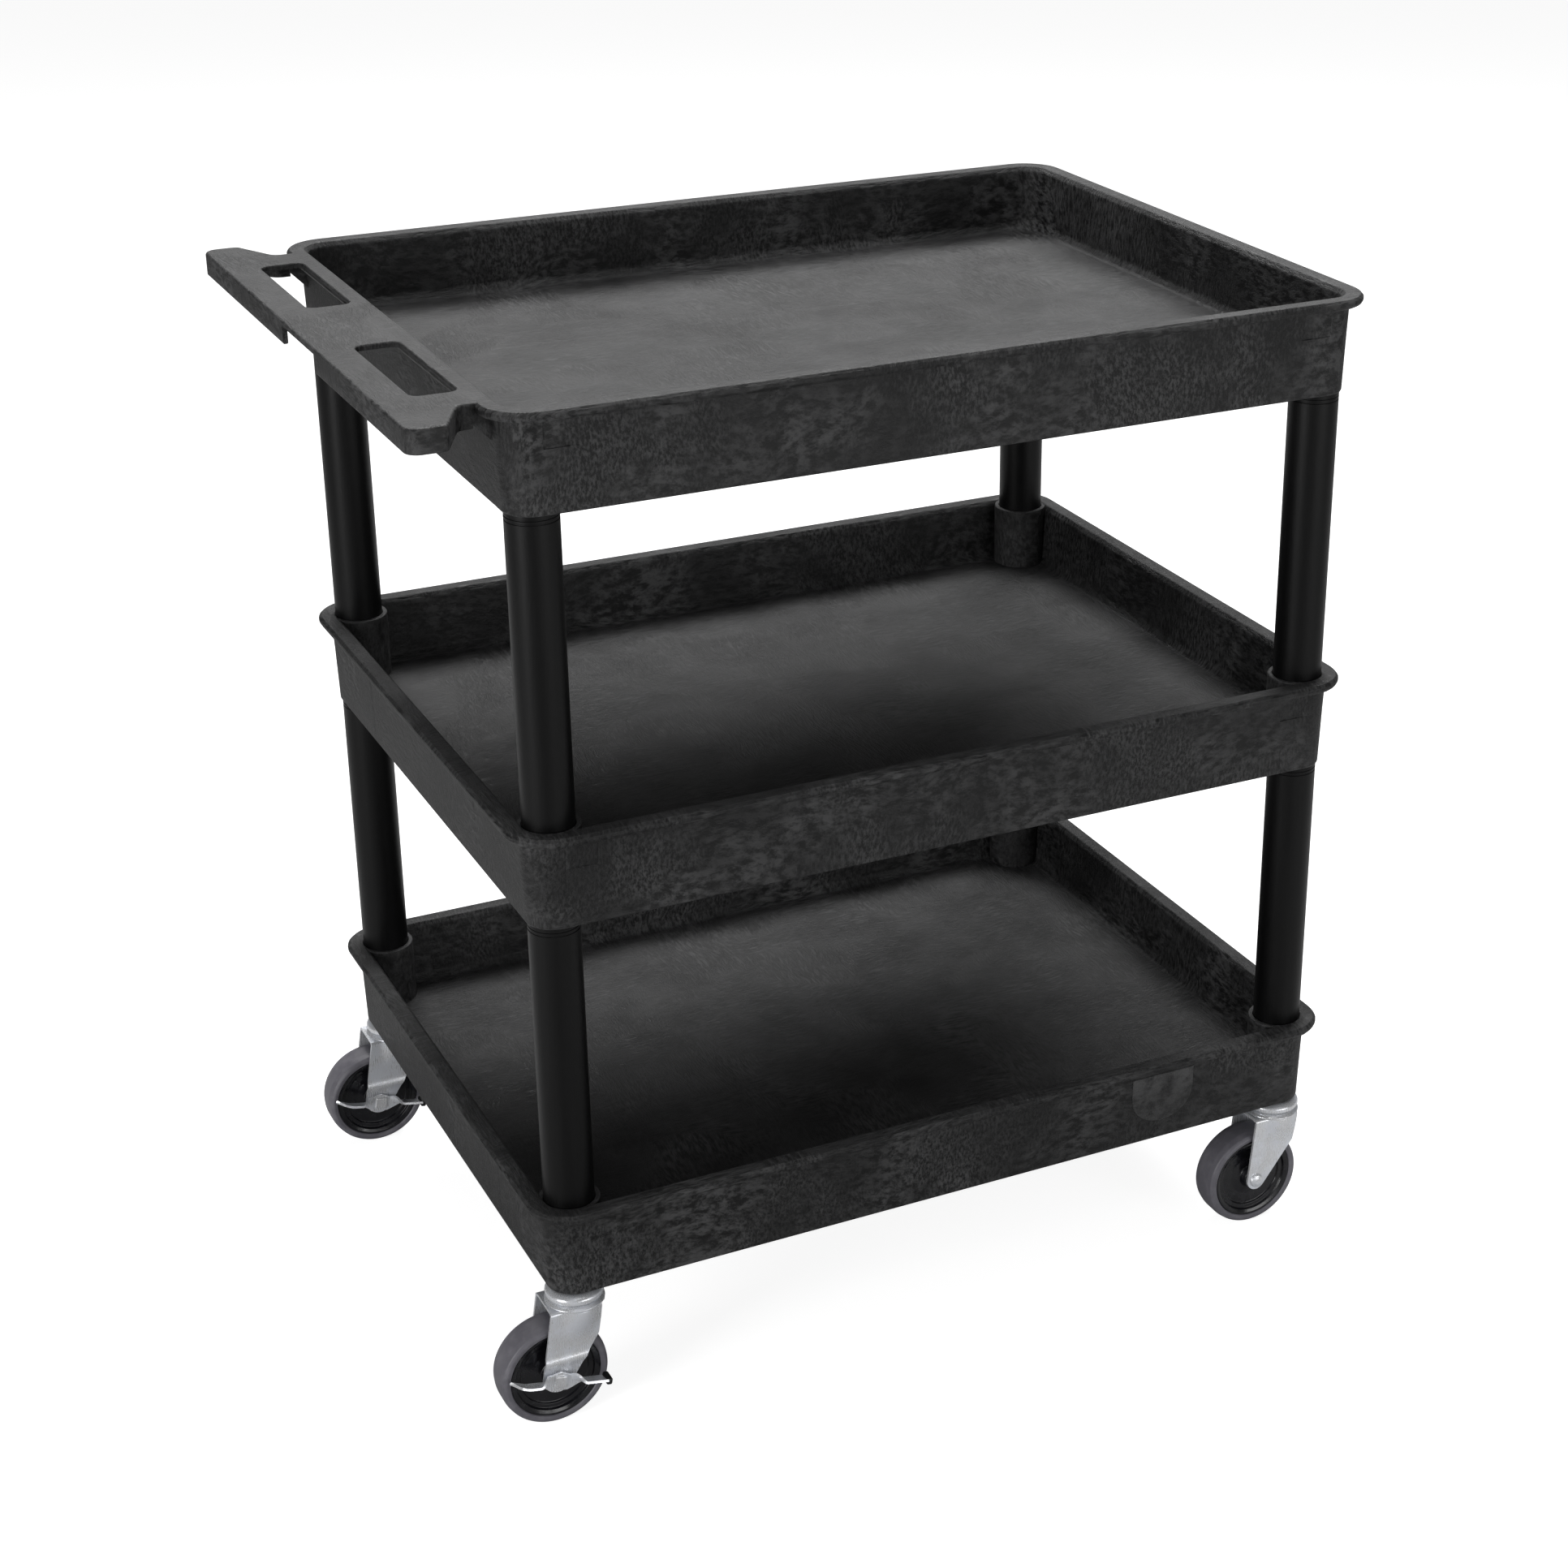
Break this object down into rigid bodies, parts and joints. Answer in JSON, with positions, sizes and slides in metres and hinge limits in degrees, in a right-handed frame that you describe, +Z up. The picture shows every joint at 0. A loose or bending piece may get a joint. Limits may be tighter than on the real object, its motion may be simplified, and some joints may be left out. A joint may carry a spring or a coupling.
{
  "type": "rolling utility cart",
  "caption": "Rolling utility cart: deep lipped plastic tubs on tubular legs, a push handle moulded into one end, and swivel casters, with foot brakes under the handle.",
  "frame": {"origin": "on the floor, under the middle of the whole footprint, handle included", "axes": "+Z up; +X along the cart's length, from the handle end to the front; +Y to the left of a person who pushes it"},
  "size_m": [0.882, 0.616, 0.946],
  "materials": {
    "tub_plastic": "black structural-foam plastic, fine swirled flow marks, soft sheen",
    "leg_plastic": "black extruded plastic tube, satin",
    "zinc_steel": "bright zinc-plated pressed steel",
    "tread_rubber": "grey thermoplastic rubber",
    "wheel_plastic": "dark moulded plastic, glossy",
    "nylon": "dark nylon",
    "grip_rubber": "black rubber"
  },
  "bodies": {
    "cart": {"top_tub": "tub_plastic", "middle_tub": "tub_plastic", "bottom_tub": "tub_plastic", "rear_right_upper_leg": "leg_plastic", "rear_right_lower_leg": "leg_plastic", "rear_right_stem_insert": "nylon", "rear_right_swivel_stem": "zinc_steel", "rear_right_ball_ring": "zinc_steel", "rear_left_upper_leg": "leg_plastic", "rear_left_lower_leg": "leg_plastic", "rear_left_stem_insert": "nylon", "rear_left_swivel_stem": "zinc_steel", "rear_left_ball_ring": "zinc_steel", "front_right_upper_leg": "leg_plastic", "front_right_lower_leg": "leg_plastic", "front_right_stem_insert": "nylon", "front_right_swivel_stem": "zinc_steel", "front_right_ball_ring": "zinc_steel", "front_left_upper_leg": "leg_plastic", "front_left_lower_leg": "leg_plastic", "front_left_stem_insert": "nylon", "front_left_swivel_stem": "zinc_steel", "front_left_ball_ring": "zinc_steel"},
    "rear_right_caster": {"rear_right_fork": "zinc_steel", "rear_right_axle_bolt": "zinc_steel", "rear_right_axle_nut": "zinc_steel", "rear_right_axle_sleeve": "nylon"},
    "rear_right_wheel": {"rear_right_wheel_core": "wheel_plastic", "rear_right_tread": "tread_rubber"},
    "rear_right_brake": {"rear_right_brake_lever": "zinc_steel", "rear_right_pedal_grip": "grip_rubber"},
    "rear_left_caster": {"rear_left_fork": "zinc_steel", "rear_left_axle_bolt": "zinc_steel", "rear_left_axle_nut": "zinc_steel", "rear_left_axle_sleeve": "nylon"},
    "rear_left_wheel": {"rear_left_wheel_core": "wheel_plastic", "rear_left_tread": "tread_rubber"},
    "rear_left_brake": {"rear_left_brake_lever": "zinc_steel", "rear_left_pedal_grip": "grip_rubber"},
    "front_right_caster": {"front_right_fork": "zinc_steel", "front_right_axle_bolt": "zinc_steel", "front_right_axle_nut": "zinc_steel", "front_right_axle_sleeve": "nylon"},
    "front_right_wheel": {"front_right_wheel_core": "wheel_plastic", "front_right_tread": "tread_rubber"},
    "front_left_caster": {"front_left_fork": "zinc_steel", "front_left_axle_bolt": "zinc_steel", "front_left_axle_nut": "zinc_steel", "front_left_axle_sleeve": "nylon"},
    "front_left_wheel": {"front_left_wheel_core": "wheel_plastic", "front_left_tread": "tread_rubber"}
  },
  "joints": [
    {"name": "rear_right_swivel", "type": "hinge", "parent": "cart", "child": "rear_right_caster", "pos_m": [-0.3331, -0.2691, 0.12], "axis": [0, 0, 1], "continuous": true},
    {"name": "rear_right_roll", "type": "hinge", "parent": "rear_right_caster", "child": "rear_right_wheel", "pos_m": [-0.3591, -0.2691, 0.05056], "axis": [0, 1, 0], "continuous": true},
    {"name": "rear_right_brake_press", "type": "hinge", "parent": "rear_right_caster", "child": "rear_right_brake", "pos_m": [-0.3591, -0.2691, 0.05056], "axis": [0, 1, 0], "range_deg": [-22, 0]},
    {"name": "rear_left_swivel", "type": "hinge", "parent": "cart", "child": "rear_left_caster", "pos_m": [-0.3331, 0.2691, 0.12], "axis": [0, 0, 1], "continuous": true},
    {"name": "rear_left_roll", "type": "hinge", "parent": "rear_left_caster", "child": "rear_left_wheel", "pos_m": [-0.3591, 0.2691, 0.05056], "axis": [0, 1, 0], "continuous": true},
    {"name": "rear_left_brake_press", "type": "hinge", "parent": "rear_left_caster", "child": "rear_left_brake", "pos_m": [-0.3591, 0.2691, 0.05056], "axis": [0, 1, 0], "range_deg": [-22, 0]},
    {"name": "front_right_swivel", "type": "hinge", "parent": "cart", "child": "front_right_caster", "pos_m": [0.4021, -0.2691, 0.12], "axis": [0, 0, 1], "continuous": true},
    {"name": "front_right_roll", "type": "hinge", "parent": "front_right_caster", "child": "front_right_wheel", "pos_m": [0.3761, -0.2691, 0.05056], "axis": [0, 1, 0], "continuous": true},
    {"name": "front_left_swivel", "type": "hinge", "parent": "cart", "child": "front_left_caster", "pos_m": [0.4021, 0.2691, 0.12], "axis": [0, 0, 1], "continuous": true},
    {"name": "front_left_roll", "type": "hinge", "parent": "front_left_caster", "child": "front_left_wheel", "pos_m": [0.3761, 0.2691, 0.05056], "axis": [0, 1, 0], "continuous": true}
  ]
}
